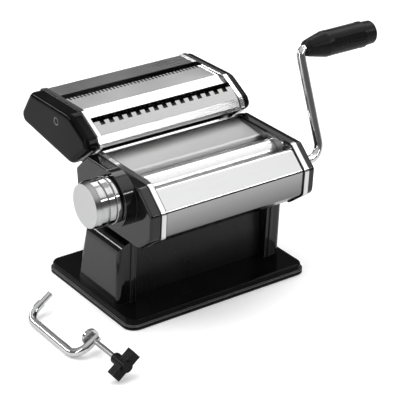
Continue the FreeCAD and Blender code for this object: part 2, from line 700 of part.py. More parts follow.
def build_regulator():
    cam = slab("regulator_cam", "-cam_inner - cam_gauge", "cam_gauge",
               [snail(S.cam_start, S.gap_travel, S.knob_sweep, REAR_AXIS)])
    shaft = rod("regulator_rod", "shaft_radius", "knob_outer - 4 - cam_inner",
                "-knob_outer + 4", "rear_axis_y", "rear_axis_z")
    washer = rod("regulator_washer", 7, 1.5, "-knob_outer + 4", "rear_axis_y", "rear_axis_z")
    node("regulator_shaft", fuse("regulator_solid", [cam, shaft, washer]))


def build_knob():
    """Silver knob, hollow for its return spring, with a ball-nosed detent pin at the back."""
    back = -S.knob_inner
    face = -S.knob_outer
    rim = S.knob_radius
    groove = rim - 2
    disc = S.knob_disc
    bore = S.shaft_radius + 0.08
    points = [(back, bore), (back, rim + 0.3), (back - 4.2, rim + 0.3), (back - 4.2, groove),
              (back - 5.4, groove), (back - 5.4, rim), (back - 11.4, rim - 0.4),
              (back - 11.4, groove), (back - 13.6, groove), (back - 13.6, rim),
              (face + S.knob_bevel, rim), (face, disc + 0.5), (face, disc), (face + 1.4, disc),
              (face + 1.4, 7.6), (back - 5, 7.6), (back - 5, bore)]
    rounding = [0] * len(points)
    rounding[2] = rounding[5] = rounding[9] = 0.5
    rounding[10] = 1.5
    body = turned("knob_turned", points, rounding)
    node("knob", place(body, 0, "rear_axis_y", "rear_axis_z"))
    cover = rod("knob_cover_disc", "knob_disc - 0.05", 1.3, "-knob_outer", "rear_axis_y", "rear_axis_z")
    node("knob_cover", cover)
    nose = doc.addObject("Part::Sphere", "detent_nose")
    nose.Radius = 1.3
    place(nose, "-knob_inner + 1.5", "rear_axis_y + dimple_circle", "rear_axis_z")
    stem = rod("detent_stem", 1.3, 1.5, "-knob_inner", "rear_axis_y + dimple_circle", "rear_axis_z")
    node("knob_detent", fuse("detent_solid", [nose, stem]))


def coil(radius, wire, pitch, turns):
    """A helical spring along +X, closed at both ends by its own wire."""
    helix = Part.makeHelix(pitch, pitch * turns, radius)
    helix.rotate(Vector(), Vector(0, 1, 0), 90)
    start = helix.Edges[0].valueAt(helix.Edges[0].FirstParameter)
    tangent = helix.Edges[0].tangentAt(helix.Edges[0].FirstParameter)
    section = Part.Wire([Part.Circle(start, tangent, wire).toShape()])
    return Part.Wire(helix.Edges).makePipeShell([section], True, True)


def build_knob_spring():
    spring = doc.addObject("Part::Feature", "knob_spring_coil")
    length = S.knob_outer - S.knob_inner - 5 - 4 - 1.5 - 1.2
    spring.Shape = coil(5.8, 0.5, length / 6, 6)
    spring.Placement = Placement(Vector(-S.knob_outer + 6.1, S.rear_axis_y, S.rear_axis_z), Rotation())
    node("knob_spring", spring)


# ---------------------------------------------------------------- crank

def swept_rod(name, radius, points, bend, turn, x, y, z):
    """A round bar swept along a planar path, turned into place."""
    body = doc.addObject("PartDesign::Body", name)
    spine = sketch_in(body, name + "_route", "XY", 0, [path(points, bend, closed=False)])
    profile = body.newObject("Sketcher::SketchObject", name + "_section")
    first = Vector(*points[0], 0)
    heading = Vector(points[1][0] - points[0][0], points[1][1] - points[0][1], 0)
    profile.Placement = Placement(first, Rotation(Vector(0, 0, 1), heading))
    ring(profile, (0, 0), radius)
    pipe = body.newObject("PartDesign::AdditivePipe", name + "_pipe")
    pipe.Profile = profile
    pipe.Spine = (spine, [f"Edge{i + 1}" for i in range(spine.GeometryCount)])
    return place(body, x, y, z, turn)


GRIP_PANELS = 4


def grip_block(name, facing, sideways, width, floor, y, z):
    """A long box over the handle's surface, turned about the handle's axis."""
    block = doc.addObject("Part::Box", name)
    bind(block, Length="panel_length", Width=width, Height="grip_radius")
    corner = facing.multVec(Vector(0, sideways - block.Width.Value / 2, floor))
    return place(block, "panel_start", f"{y} + {corner.y:.5f}", f"{z} + {corner.z:.5f}", facing)


def build_crank():
    """Bent steel rod from the roller's socket to the handle."""
    start = S.socket_end + 2
    bends = [0, S.crank_low_bend, S.crank_high_bend, 0]
    upright = Rotation(Vector(1, 0, 0), 90 - S.crank_lean)
    route = [(start, 0), (S.crank_reach, 0), (S.crank_reach, S.crank_arm),
             (S.grip_end - 8, S.crank_arm)]
    node("crank_rod", swept_rod("crank_bar", "crank_radius", route, bends, upright,
                                0, "front_axis_y", "front_axis_z"))
    top_y = f"front_axis_y + crank_arm*{math.sin(math.radians(S.crank_lean)):.6f}"
    top_z = f"front_axis_z + crank_arm*{math.cos(math.radians(S.crank_lean)):.6f}"
    bore = S.crank_radius + S.fit_gap
    start = S.crank_reach + S.crank_high_bend + 0.6
    cap = S.grip_end - S.grip_cap
    points = [(start, bore), (start, S.neck_radius), (start + 3, S.neck_radius + 1),
              (start + 21, S.grip_radius - 0.2), (cap, S.grip_radius), (cap, S.grip_radius - 1.1),
              (S.grip_end, S.grip_radius - 1.5), (S.grip_end, 0), (S.grip_end - 7.6, 0),
              (S.grip_end - 7.6, bore)]
    handle = place(turned("grip_turned", points, [0, 0.6, 4, 8, 0.6, 0, 2, 0, 0, 0]), 0, top_y, top_z)
    floor = S.grip_radius - S.panel_depth
    hollows = []
    ribs = []
    for number in range(GRIP_PANELS):
        facing = Rotation(Vector(1, 0, 0), S.panel_turn + 360 * number / GRIP_PANELS)
        hollows.append(grip_block(f"grip_panel_{number}", facing, 0, "panel_width", floor,
                                  top_y, top_z))
        for which, sideways in (("low", -S.panel_width / 5), ("high", S.panel_width / 5)):
            ribs.append(grip_block(f"grip_rib_{which}_{number}", facing, sideways, "panel_rib",
                                   floor - 1, top_y, top_z))
    ribbing = doc.addObject("Part::MultiCommon", "grip_ribbing")
    ribbing.Shapes = [group("grip_ribs", ribs), rod("grip_rib_limit", "grip_radius - 0.3", 60,
                                                     "panel_start - 10", top_y, top_z)]
    node("crank_grip", fuse("grip_solid", [cut("grip_cut", handle, hollows), ribbing]))


# ---------------------------------------------------------------- cutting unit

CUTTER = [(33, 175.8), (6.5, 161), (1.2, 151.2), (33.4, 124.3), (120.5, 136.8), (127.5, 145.4),
          (106.5, 175)]
CUTTER_ROUNDING = [4, 5, 4, 8, 7, 9, 7]
CUTTER_CAP_ROUNDING = [20, 7, 6, 12, 7, 9, 12]
HOOK_FRONT = 20.5
HOOK_BACK = 26.5
CUTTER_RODS = {"front": (50, 139), "back": (104, 146)}
PAIRS = {
    "fine": ((S.fine_axis_y - S.cut_spacing, S.fine_axis_z), (S.fine_axis_y, S.fine_axis_z), S.fine_pitch),
    "wide": ((S.wide_axis_y - S.cut_spacing, S.wide_axis_z), (S.wide_axis_y, S.wide_axis_z), S.wide_pitch),
}


def disc_edges(pitch, shifted):
    """Distances along X where the discs of a cutting roller start and stop."""
    count = int(S.cut_half // pitch)
    shift = pitch / 2 if shifted else 0
    width = pitch / 2 - S.side_gap
    spans = []
    for number in range(-count, count + 1):
        middle = number * pitch + shift
        low = max(middle - width / 2, -S.cut_half)
        high = min(middle + width / 2, S.cut_half)
        if high - low > 1:
            spans.append((low, high))
    return spans


def build_cutting_roller(label, centre, pitch, shifted, driven):
    """Roller turned with a row of cutting discs, its journals and its pinion in one piece."""
    end = S.cut_gear_start + S.cut_gear_gauge
    points = [(-S.trim_outer, 0), (-S.trim_outer, S.cut_journal), (-S.cut_half - 0.6, S.cut_journal),
              (-S.cut_half - 0.6, S.cut_root)]
    for low, high in disc_edges(pitch, shifted):
        points += [(low, S.cut_root), (low, S.cut_radius), (high, S.cut_radius), (high, S.cut_root)]
    points += [(S.cut_half + 0.6, S.cut_root), (S.cut_half + 0.6, S.cut_journal),
               (end, S.cut_journal), (end, 0)]
    tidy = [point for i, point in enumerate(points) if point != points[i - 1]]
    shaft = place(turned(label + "_shaft", tidy), 0, centre[0], centre[1])
    teeth = int(S.cut_teeth)
    turn = 0 if not shifted else math.pi + math.pi / teeth
    wheel = slab(label + "_pinion", "cut_gear_start", "cut_gear_gauge",
                 [gear_outline(teeth, S.cut_spacing / 2, centre, turn)])
    solid = fuse(label + "_solid", [shaft, wheel])
    if driven:
        socket = rod(label + "_socket", "socket_radius", 30, 70, centre[0], centre[1])
        solid = cut(label + "_cut", solid, [socket])
    node(label, solid)


def comb_outline(pitch, shifted, root, tip, half):
    """Plan of a stripper comb: one finger in every groove of its roller."""
    finger = pitch / 2 - 3 * S.side_gap
    gaps = [(low + high) / 2 + pitch / 2 for low, high in disc_edges(pitch, shifted)][:-1]
    points = [(-half, root)]
    for middle in gaps:
        if abs(middle) < half - pitch / 2:
            points += [(middle - finger / 2, root), (middle - finger / 2, tip),
                       (middle + finger / 2, tip), (middle + finger / 2, root)]
    back = root + (3 if root > tip else -3)
    points += [(half, root), (half, back), (-half, back)]
    return path(points)


def build_combs(kind):
    front, rear, pitch = PAIRS[kind]
    combs = []
    for label, centre, shifted, away in (("front", front, False, -1), ("rear", rear, True, 1)):
        outline = comb_outline(pitch, shifted, centre[0] + away * 4.5, centre[0] - away * 0.5,
                               S.cut_plate_inner - 0.2)
        combs.append(slab(f"{kind}_comb_{label}", centre[1] - S.comb_drop, 0.9, [outline],
                          plane="XY"))
    node(f"{kind}_combs", group(f"{kind}_comb_group", combs))


def notched(name, profile, pitch, edge_y, depth, width):
    """A bent sheet across the unit whose edge is notched at every pitch."""
    body = slab(name, "-cut_sheet_half", "2*cut_sheet_half", [profile])
    count = int(S.cut_half // pitch)
    loops = []
    for number in range(-count, count + 1):
        middle = number * pitch
        loops.append(path(rectangle(middle - width / 2, middle + width / 2,
                                    edge_y - depth, edge_y + 3)))
    sketch = sketch_in(body, name + "_notches", "XY", 200, loops)
    pocket = body.newObject("PartDesign::Pocket", name + "_pocket")
    pocket.Profile = sketch
    pocket.Length = 60
    return body


def build_cutter_end(name, side):
    skin = offset(CUTTER, 2.7)
    start, length = sided(side, "cut_plate_inner", "cut_plate_inner + plate_gauge")
    spots = [axis for pair in PAIRS.values() for axis in pair[:2]]
    plate = slab(f"cutter_plate_{name}", start, length, [path(skin, shrunk(CUTTER_ROUNDING, 3))],
                 [(spot, "cut_journal + 1.2") for spot in spots]
                 + [(spot, "rod_radius") for spot in CUTTER_RODS.values()])
    start, length = sided(side, "cut_plate_inner", "trim_outer")
    trim = slab(f"cutter_trim_{name}", start, length,
                [path(CUTTER, CUTTER_ROUNDING), path(offset(CUTTER, S.trim_gauge),
                                                     shrunk(CUTTER_ROUNDING, S.trim_gauge))])
    outer = f"cut_cap_{name}"
    face = side * getattr(S, outer)
    start, length = sided(side, "trim_outer", outer)
    blank = slab(f"cutter_cap_{name}_blank", start, length,
                 [path(offset(CUTTER, S.cap_inset), CUTTER_CAP_ROUNDING)])
    soften(blank, "cut_cap_bevel", lambda edge: on_plane(edge, "X", face), "Fillet")
    start, length = sided(side, "trim_outer - 1", outer + " - 2*cap_wall")
    hollow = slab(f"cutter_cap_{name}_hollow", start, length,
                  [path(offset(CUTTER, S.cap_inset + S.cap_wall), shrunk(CUTTER_CAP_ROUNDING, 3))])
    drills = [hollow, rod(f"cutter_cap_{name}_recess", 3.6, 1.2, f"{face} - ({side} + 1)*0.6",
                          "cap_recess_y", "cap_recess_z")]
    if side > 0:
        for kind, pair in PAIRS.items():
            drills.append(rod(f"{kind}_crank_hole", "socket_radius + 1", 10, outer + " - 6",
                              *pair[1]))
    node(f"cutter_cap_{name}", cut(f"cutter_cap_{name}_cut", blank, drills))
    return plate, trim


def build_cutter_hooks():
    """Steel tongues inside the unit's ends that drop into slots in the rear cover."""
    hooks = []
    for name, side in SIDES.items():
        start, length = sided(side, "hook_inner", "hook_outer")
        tongue = slab(f"cutter_hook_{name}_tongue", start, length,
                      [path(rectangle(HOOK_FRONT, HOOK_BACK, 116, 145.6), [2.5, 2.5, 0, 0])])
        start, length = sided(side, "hook_inner", "cut_plate_inner")
        foot = slab(f"cutter_hook_{name}_foot", start, length,
                    [path(rectangle(HOOK_FRONT + 1, HOOK_BACK + 4, 139.6, 145.6))])
        hooks.append(fuse(f"cutter_hook_{name}", [tongue, foot]))
    node("cutter_hooks", group("cutter_hook_group", hooks))


def build_cutter_covers():
    skin = offset(CUTTER, S.trim_gauge)
    back = [(86, 134.6), skin[4], skin[5], skin[6], (81.6, skin[6][1] + 0.2)]
    node("cutter_rear_cover", slab("cutter_rear_sheet", "-cut_sheet_half", "2*cut_sheet_half",
                                   [strip(back, S.cover_gauge, 3)]))
    ridge = [(72, 173.4), (41, 173.6), (28, 169.6)]
    node("ridge_plate", notched("ridge_sheet", strip(ridge, S.cover_gauge, 0.6), S.fine_pitch,
                                ridge[0][0], 5, S.fine_pitch / 2))
    front = [(19.6, 168.6), skin[1], skin[2], (skin[2][0] + 6, skin[2][1] - 5)]
    node("cutter_front_plate",
         notched("cutter_front_sheet", strip(front, S.cover_gauge, 1), S.wide_pitch,
                 front[0][0], 3.6, S.wide_pitch / 2))
    belly = [(38, 127.5), (62, 130.6)]
    node("cutter_belly", slab("cutter_belly_sheet", "-cut_sheet_half", "2*cut_sheet_half",
                              [strip(belly, S.cover_gauge, 0)]))


def build_cutter():
    plates, trims = zip(*(build_cutter_end(name, side) for name, side in SIDES.items()))
    node("cutter_side_plates", group("cutter_plate_group", list(plates)))
    node("cutter_trims", group("cutter_trim_group", list(trims)))
    build_cutter_hooks()
    build_cutter_covers()
    bushes = []
    for kind, (front, rear, pitch) in PAIRS.items():
        build_cutting_roller(f"{kind}_roller_front", front, pitch, False, False)
        build_cutting_roller(f"{kind}_roller_rear", rear, pitch, True, True)
        build_combs(kind)
        for end, axis in (("front", front), ("rear", rear)):
            for name, side in SIDES.items():
                start, length = sided(side, "cut_plate_inner - 1.2", "cut_plate_inner + plate_gauge + 1")
                ring_body = slab(f"{kind}_{end}_bush_{name}", start, length, (),
                                 [(axis, "cut_journal + 1.2"), (axis, "cut_journal + fit_gap")])
                bushes.append(ring_body)
    node("cutter_bushes", group("cutter_bush_group", bushes))
    ties = [rod(f"cutter_tie_{label}", "rod_radius", "2*(cut_plate_inner + plate_gauge)",
                "-(cut_plate_inner + plate_gauge)", y, z) for label, (y, z) in CUTTER_RODS.items()]
    node("cutter_tie_rods", group("cutter_tie_group", ties))
    screws = []
    for name, side in SIDES.items():
        screws.append(rod(f"cutter_screw_{name}", 3.4, 1.0, f"{side}*(cut_cap_{name} - 0.7) - 0.5",
                          "cap_recess_y", "cap_recess_z"))
    node("cutter_cap_screws", group("cutter_screw_group", screws))


# ---------------------------------------------------------------- clamp

def build_clamp():
    """Bent bar with a threaded end, its screw with a T-shaped knob, and the loose pad."""
    tilt = Rotation(Vector(0, 1, 0), -S.clamp_tilt)
    splay = math.radians(S.clamp_splay)
    shoulder = 0.6 * S.clamp_tip_length
    high = Vector(math.cos(splay), math.sin(splay), 0)
    tip_start = (shoulder * high.x, S.clamp_high_arm + shoulder * high.y)
    route = [tip_start, (0, S.clamp_high_arm), (0, S.clamp_low_arm),
             (S.clamp_throat + S.clamp_bar_end, S.clamp_low_arm)]
    bar = swept_rod("clamp_bar", "clamp_rod_radius", route, S.clamp_bend, tilt,
                    "clamp_spine_x", 0, "clamp_rod_radius")
    lean = tilt.multiply(Rotation(Vector(1, 0, 0), high))
    start = tilt.multVec(Vector(tip_start[0], tip_start[1], 0))
    tip_length = 0.4 * S.clamp_tip_length
    tips = []
    for name, radius, along, length in (("clamp_tip", "clamp_tip_radius", 0, tip_length),
                                        ("clamp_tip_ring", "clamp_ring_radius",
                                         tip_length - S.clamp_ring_length, "clamp_ring_length")):
        start = tilt.multVec(Vector(*tip_start, 0) + high * along)
        tips.append(rod(name, radius, length, f"clamp_spine_x + {start.x:.5f}", start.y,
                        f"clamp_rod_radius + {start.z:.5f}", lean.multiply(ALONG_X)))
    screw_at = tilt.multVec(Vector(S.clamp_throat, 0, 0))
    screw_x = f"clamp_spine_x + {screw_at.x:.5f}"
    screw_z = f"clamp_rod_radius + {screw_at.z:.5f}"

    def on_screw(name, radius, low, high_end):
        """A round piece on the screw's axis, between two distances in front of the bar's middle."""
        return rod(name, radius, f"({high_end}) - ({low})", screw_x, f"clamp_low_arm + ({low})", screw_z,
                   ALONG_Y)

    thread = on_screw("clamp_thread", "screw_radius + fit_gap", -10, 10)
    node("clamp_frame", fuse("clamp_solid", [cut("clamp_drilled_bar", bar, [thread])] + tips))
    pad_back = S.clamp_rod_radius + 0.8
    node("clamp_screw", fuse("clamp_screw_solid", [
        on_screw("clamp_screw_shank", "screw_radius", -42, pad_back - 0.3),
        on_screw("clamp_screw_neck", "pad_neck_radius", pad_back - 0.4, pad_back + 2.2),
        on_screw("clamp_screw_head", "pad_neck_radius + 1", pad_back + 1.9, pad_back + 2.6)]))
    disc = on_screw("clamp_pad_disc", "pad_disc_radius", pad_back, pad_back + 3)
    dish = on_screw("clamp_pad_dish", "pad_disc_radius - 1.4", pad_back + 1.6, pad_back + 4)
    hollow = on_screw("clamp_pad_hollow", "pad_neck_radius + 0.06", pad_back - 1, pad_back + 4)
    node("clamp_pad", cut("clamp_pad_cut", disc, [dish, hollow]))
    hub = on_screw("clamp_hub", "hub_radius", -55.6, -36)
    bar_turn = Rotation(Vector(0, 1, 0), -S.bar_turn)
    corner = bar_turn.multVec(Vector(-S.bar_half, 0, -S.bar_height / 2))
    wing = doc.addObject("Part::Box", "clamp_wing")
    bind(wing, Length="2*bar_half", Height="bar_height", Width="bar_gauge")
    place(wing, f"{screw_x} + {corner.x:.5f}", "clamp_low_arm - 53.6",
          f"{screw_z} + {corner.z:.5f}", bar_turn)
    blind = on_screw("clamp_knob_hole", "screw_radius", -42, -30)
    node("clamp_knob", cut("clamp_knob_cut", fuse("clamp_knob_solid", [hub, wing]), [blind]))


# ---------------------------------------------------------------- whole machine

build_base()
build_pedestal()
build_body()
build_front_roller()
build_rear_roller()
build_scrapers()
build_dial()
build_regulator()
build_knob()
build_knob_spring()
build_crank()
build_cutter()
build_clamp()
doc.recompute()

faulty = [thing.Name for thing in doc.Objects if {"Invalid", "Error"} & set(thing.State)]
if faulty:
    raise RuntimeError("these objects did not build: " + ", ".join(faulty))
for piece in NODES:
    if piece.Shape.isNull() or not piece.Shape.isValid():
        raise RuntimeError(piece.Label + " has no valid shape")

os.makedirs("parts", exist_ok=True)
for piece in NODES:
    piece.Shape.exportStep(os.path.join("parts", piece.Label + ".step"))
print(len(NODES), "nodes written")
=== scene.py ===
"""Looks for the pasta roller machine: materials, fine detail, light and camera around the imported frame."""

import json
import math

import bpy
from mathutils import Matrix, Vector


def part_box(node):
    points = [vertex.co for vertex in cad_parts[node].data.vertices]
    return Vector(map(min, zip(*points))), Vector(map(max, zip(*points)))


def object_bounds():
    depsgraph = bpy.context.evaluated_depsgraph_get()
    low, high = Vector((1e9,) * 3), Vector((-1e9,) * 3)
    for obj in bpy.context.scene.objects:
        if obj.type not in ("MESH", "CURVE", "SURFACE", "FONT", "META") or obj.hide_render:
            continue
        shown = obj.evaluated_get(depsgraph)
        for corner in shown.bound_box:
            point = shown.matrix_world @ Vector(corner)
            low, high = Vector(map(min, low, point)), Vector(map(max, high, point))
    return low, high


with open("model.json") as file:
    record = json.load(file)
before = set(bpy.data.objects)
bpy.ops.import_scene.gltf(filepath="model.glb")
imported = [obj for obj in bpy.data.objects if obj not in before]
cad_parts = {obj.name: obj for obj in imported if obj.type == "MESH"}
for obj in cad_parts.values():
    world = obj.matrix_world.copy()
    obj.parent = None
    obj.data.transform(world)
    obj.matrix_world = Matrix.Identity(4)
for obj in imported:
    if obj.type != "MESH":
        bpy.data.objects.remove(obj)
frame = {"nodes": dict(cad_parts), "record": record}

CAD_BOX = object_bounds()
RECORD = frame["record"]
SLOT_OF = {part["node"]: part["material_slot"] for part in RECORD["subparts"]}
MM = 0.001

# front cover
CREASE_Z = 123.6 * MM            # where the sheet bends
COVER_FOOT_Z = 84.5 * MM         # its lower edge

# edge bands
BAND_MIDDLE_X = 79.0 * MM        # distance of the bands' middle from the machine's middle
BAND_SIDE_SHADE_START = 2.1 * MM       # the painted shade along the band's sides begins this far from its middle
BAND_SIDE_SHADE_FULL = 2.6 * MM

# stretches that turn a noise into a grain: few waves along the first axis, many across
ALONG_X = (30.0, 1800.0, 1800.0)
ACROSS_X = (900.0, 200.0, 200.0)
BAND_GRAIN = (2600.0, 40.0, 40.0)

# studio
FLOOR_SIZE = 24.0
FLOOR_DROP = 0.0004              # the floor lies this far under the machine
FLOOR_GREY = 0.94
FLOOR_GLOW = 0.22
MIRRORED_FLOOR_GREY = 0.60       # the floor as the polished metal mirrors it
MIRRORED_FLOOR_GLOW = 0.10
SKY = [(0.0, 0.30), (0.15, 0.12), (0.42, 0.10), (0.6, 0.30), (0.8, 0.60), (1.0, 0.70)]
LIGHT_AIM = (0.0, -0.02, 0.10)

CAMERA_PLACE = (-0.7914, -1.1810, 0.7759)
CAMERA_AIM = (0.0277, 0.0, 0.0683)
CAMERA_LENS = 149.5
CAMERA_SENSOR = 36.0


# ---------------------------------------------------------------- material helpers

class Nodes:
    """A small wrapper that builds one material's node tree."""

    def __init__(self, name, **inputs):
        self.material = bpy.data.materials.new(name)
        self.material.use_nodes = True
        self.tree = self.material.node_tree
        self.shader = self.tree.nodes["Principled BSDF"]
        for socket, value in inputs.items():
            self.shader.inputs[socket.replace("_", " ")].default_value = value
        self.here = self.add("ShaderNodeTexCoord").outputs["Object"]

    def add(self, kind, **settings):
        node = self.tree.nodes.new(kind)
        for name, value in settings.items():
            setattr(node, name, value)
        return node

    def feed(self, node, socket, value):
        """Links an output to a socket, or writes a plain value into it."""
        if isinstance(value, bpy.types.NodeSocket):
            self.tree.links.new(value, node.inputs[socket])
        else:
            node.inputs[socket].default_value = value

    def stretched(self, scale):
        """Object coordinates scaled differently along each axis, so that a noise becomes a grain."""
        mapping = self.add("ShaderNodeMapping")
        self.feed(mapping, "Vector", self.here)
        self.feed(mapping, "Scale", scale)
        return mapping.outputs["Vector"]

    def noise(self, scale, detail=4.0, rough=0.55, where=None, distortion=0.0):
        texture = self.add("ShaderNodeTexNoise")
        self.feed(texture, "Vector", where or self.here)
        self.feed(texture, "Scale", scale)
        self.feed(texture, "Detail", detail)
        self.feed(texture, "Roughness", rough)
        self.feed(texture, "Distortion", distortion)
        return texture.outputs["Fac"]

    def remap(self, value, low, high, new_low, new_high):
        node = self.add("ShaderNodeMapRange")
        self.feed(node, "Value", value)
        self.feed(node, "From Min", low)
        self.feed(node, "From Max", high)
        self.feed(node, "To Min", new_low)
        self.feed(node, "To Max", new_high)
        return node.outputs["Result"]

    def maths(self, operation, first, second=0.0):
        node = self.add("ShaderNodeMath", operation=operation)
        self.feed(node, 0, first)
        self.feed(node, 1, second)
        return node.outputs["Value"]

    def blend(self, amount, first, second):
        node = self.add("ShaderNodeMix", data_type="RGBA")
        self.feed(node, "Factor", amount)
        self.feed(node, "A", first)
        self.feed(node, "B", second)
        return node.outputs["Result"]

    def edges(self, radius, start=0.02, full=0.2):
        """One along the sharp corners of the piece, nought on its flats."""
        bevel = self.add("ShaderNodeBevel", samples=6)
        self.feed(bevel, "Radius", radius)
        surface = self.add("ShaderNodeNewGeometry")
        agreement = self.add("ShaderNodeVectorMath", operation="DOT_PRODUCT")
        self.feed(agreement, 0, bevel.outputs["Normal"])
        self.feed(agreement, 1, surface.outputs["Normal"])
        turned_away = self.maths("SUBTRACT", 1.0, agreement.outputs["Value"])
        return self.remap(turned_away, start, full, 0.0, 1.0)

    def split(self):
        """The three object coordinates as separate outputs."""
        node = self.add("ShaderNodeSeparateXYZ")
        self.feed(node, "Vector", self.here)
        return node.outputs

    def distance(self, value, middle):
        """How far a coordinate lies from a middle, on either side."""
        return self.maths("ABSOLUTE", self.maths("SUBTRACT", value, middle))

    def set_colour(self, value):
        self.feed(self.shader, "Base Color", value)

    def set_roughness(self, value):
        self.feed(self.shader, "Roughness", value)

    def set_bump(self, *layers):
        """Adds bump layers, each a height, a depth in metres and a strength."""
        normal = None
        for height, depth, strength in layers:
            bump = self.add("ShaderNodeBump")
            self.feed(bump, "Height", height)
            self.feed(bump, "Distance", depth)
            self.feed(bump, "Strength", strength)
            if normal:
                self.feed(bump, "Normal", normal)
            normal = bump.outputs["Normal"]
        self.feed(self.shader, "Normal", normal)


def grey(level, blue=0.0):
    return (level, level, level + blue, 1.0)


# ---------------------------------------------------------------- materials

def gloss_black(name="gloss_black", ior=1.5, corner_highlight=0.10, edge=0.7 * MM):
    """Enamelled or moulded black with a deep gloss, a faint orange peel, fine scuffs and a painted highlight
    along its sharp corners.
    """
    m = Nodes(name, Metallic=0.0, IOR=ior)
    clouds = m.noise(22.0, 5.0)
    scuffs = m.noise(6.0, 9.0, 0.7, m.stretched((30.0, 400.0, 30.0)))
    body = m.blend(m.remap(clouds, 0.35, 0.7, 0.0, 1.0), grey(0.0025), grey(0.0055, 0.0004))
    # painted highlight: the sharp corners are coloured lighter than the flats
    m.set_colour(m.blend(m.edges(edge), body, grey(corner_highlight)))
    m.set_roughness(m.maths("ADD", m.remap(clouds, 0.3, 0.7, 0.07, 0.12),
                            m.remap(scuffs, 0.6, 0.8, 0.0, 0.08)))
    m.set_bump((m.noise(260.0, 2.0), 0.00008, 0.08), (m.noise(1800.0, 2.0), 0.00002, 0.06))
    return m.material


def chrome(name, level, grain, rough, blue=0.004):
    """Bright sheet with a faint grain along one axis, handling marks and darker corners."""
    m = Nodes(name, Metallic=1.0)
    lines = m.noise(1.0, 6.0, 0.7, m.stretched(grain))
    smudge = m.noise(35.0, 4.0, 0.6, distortion=0.6)
    sheet = m.blend(m.remap(lines, 0.3, 0.7, 0.0, 1.0), grey(level - 0.03, blue), grey(level + 0.03, blue))
    m.set_colour(m.blend(m.edges(0.5 * MM), sheet, grey(level * 0.3)))
    m.set_roughness(m.maths("ADD", m.remap(lines, 0.3, 0.7, rough, rough + 0.05),
                            m.remap(smudge, 0.45, 0.75, 0.0, 0.05)))
    m.set_bump((lines, 0.00002, 0.10))
    return m.material


def bright_rod():
    """Plated round bar: mirror bright, with a few dull spots."""
    m = Nodes("polished_rod", Metallic=1.0)
    spots = m.noise(60.0, 5.0, 0.65)
    m.set_colour(m.blend(m.remap(spots, 0.45, 0.75, 0.0, 1.0), grey(0.80, 0.004), grey(0.64, 0.004)))
    m.set_roughness(m.remap(spots, 0.4, 0.75, 0.05, 0.12))
    return m.material


def cover_sheet():
    """The front cover: satin bright above its bend. The lower face carries painted shade, darker towards its
    foot, and a painted dark line of shade runs along the bend.
    """
    m = Nodes("cover_sheet", Metallic=1.0)
    height = m.split()["Z"]
    lines = m.noise(1.0, 6.0, 0.7, m.stretched(ALONG_X))
    upper = m.blend(m.remap(lines, 0.3, 0.7, 0.0, 1.0), grey(0.58, 0.004), grey(0.63, 0.004))
    # painted shade: the lower face grows darker towards its foot
    lower = m.blend(m.remap(height, COVER_FOOT_Z, CREASE_Z, 0.1, 1.0), grey(0.02), grey(0.44))
    faces = m.blend(m.maths("LESS_THAN", height, CREASE_Z), upper, lower)
    # painted shade: a dark line along the bend of the sheet
    crease_painted_shade = m.remap(m.distance(height, CREASE_Z), 0.2 * MM, 0.5 * MM, 1.0, 0.0)
    m.set_colour(m.blend(crease_painted_shade, faces, grey(0.04)))
    m.set_roughness(m.remap(lines, 0.3, 0.7, 0.14, 0.20))
    m.set_bump((lines, 0.00002, 0.10))
    return m.material


def trim_chrome():
    """Mirror-bright edge band, with a dark line of painted shade along each side."""
    m = Nodes("trim_chrome", Metallic=1.0)
    from_middle = m.distance(m.maths("ABSOLUTE", m.split()["X"]), BAND_MIDDLE_X)
    side_painted_shade = m.remap(from_middle, BAND_SIDE_SHADE_START, BAND_SIDE_SHADE_FULL, 0.0, 1.0)
    grain = m.noise(1.0, 5.0, 0.6, m.stretched(BAND_GRAIN))
    # painted shade: the band's sides are coloured dark
    m.set_colour(m.blend(side_painted_shade, grey(0.80), grey(0.05)))
    m.set_roughness(m.maths("ADD", m.remap(grain, 0.3, 0.7, 0.07, 0.13), m.maths("MULTIPLY", side_painted_shade, 0.18)))
    m.set_bump((grain, 0.00002, 0.1))
    return m.material


def brushed(name, level, grain, rough, contrast=0.05, depth=0.00004):
    """Satin steel with a directional grain."""
    m = Nodes(name, Metallic=1.0)
    lines = m.noise(1.0, 8.0, 0.75, m.stretched(grain))
    clouds = m.noise(18.0, 4.0)
    m.set_colour(m.blend(m.remap(lines, 0.3, 0.7, 0.0, 1.0), grey(level - contrast), grey(level + contrast)))
    m.set_roughness(m.maths("ADD", m.remap(lines, 0.3, 0.7, rough - 0.04, rough + 0.06),
                            m.remap(clouds, 0.35, 0.7, 0.0, 0.06)))
    m.set_bump((lines, depth, 0.25))
    return m.material


def turned_steel(name, level, rough, pitch=0.35 * MM):
    """Ground steel with fine rings round an axis along X."""
    m = Nodes(name, Metallic=1.0)
    rings = m.noise(1.0, 4.0, 0.6, m.stretched((1.0 / pitch, 30.0, 30.0)))
    clouds = m.noise(30.0, 4.0)
    m.set_colour(m.blend(m.remap(rings, 0.35, 0.65, 0.0, 1.0), grey(level - 0.05), grey(level + 0.04)))
    m.set_roughness(m.maths("ADD", m.remap(rings, 0.3, 0.7, rough, rough + 0.08),
                            m.remap(clouds, 0.4, 0.7, 0.0, 0.05)))
    m.set_bump((rings, 0.00003, 0.2))
    return m.material


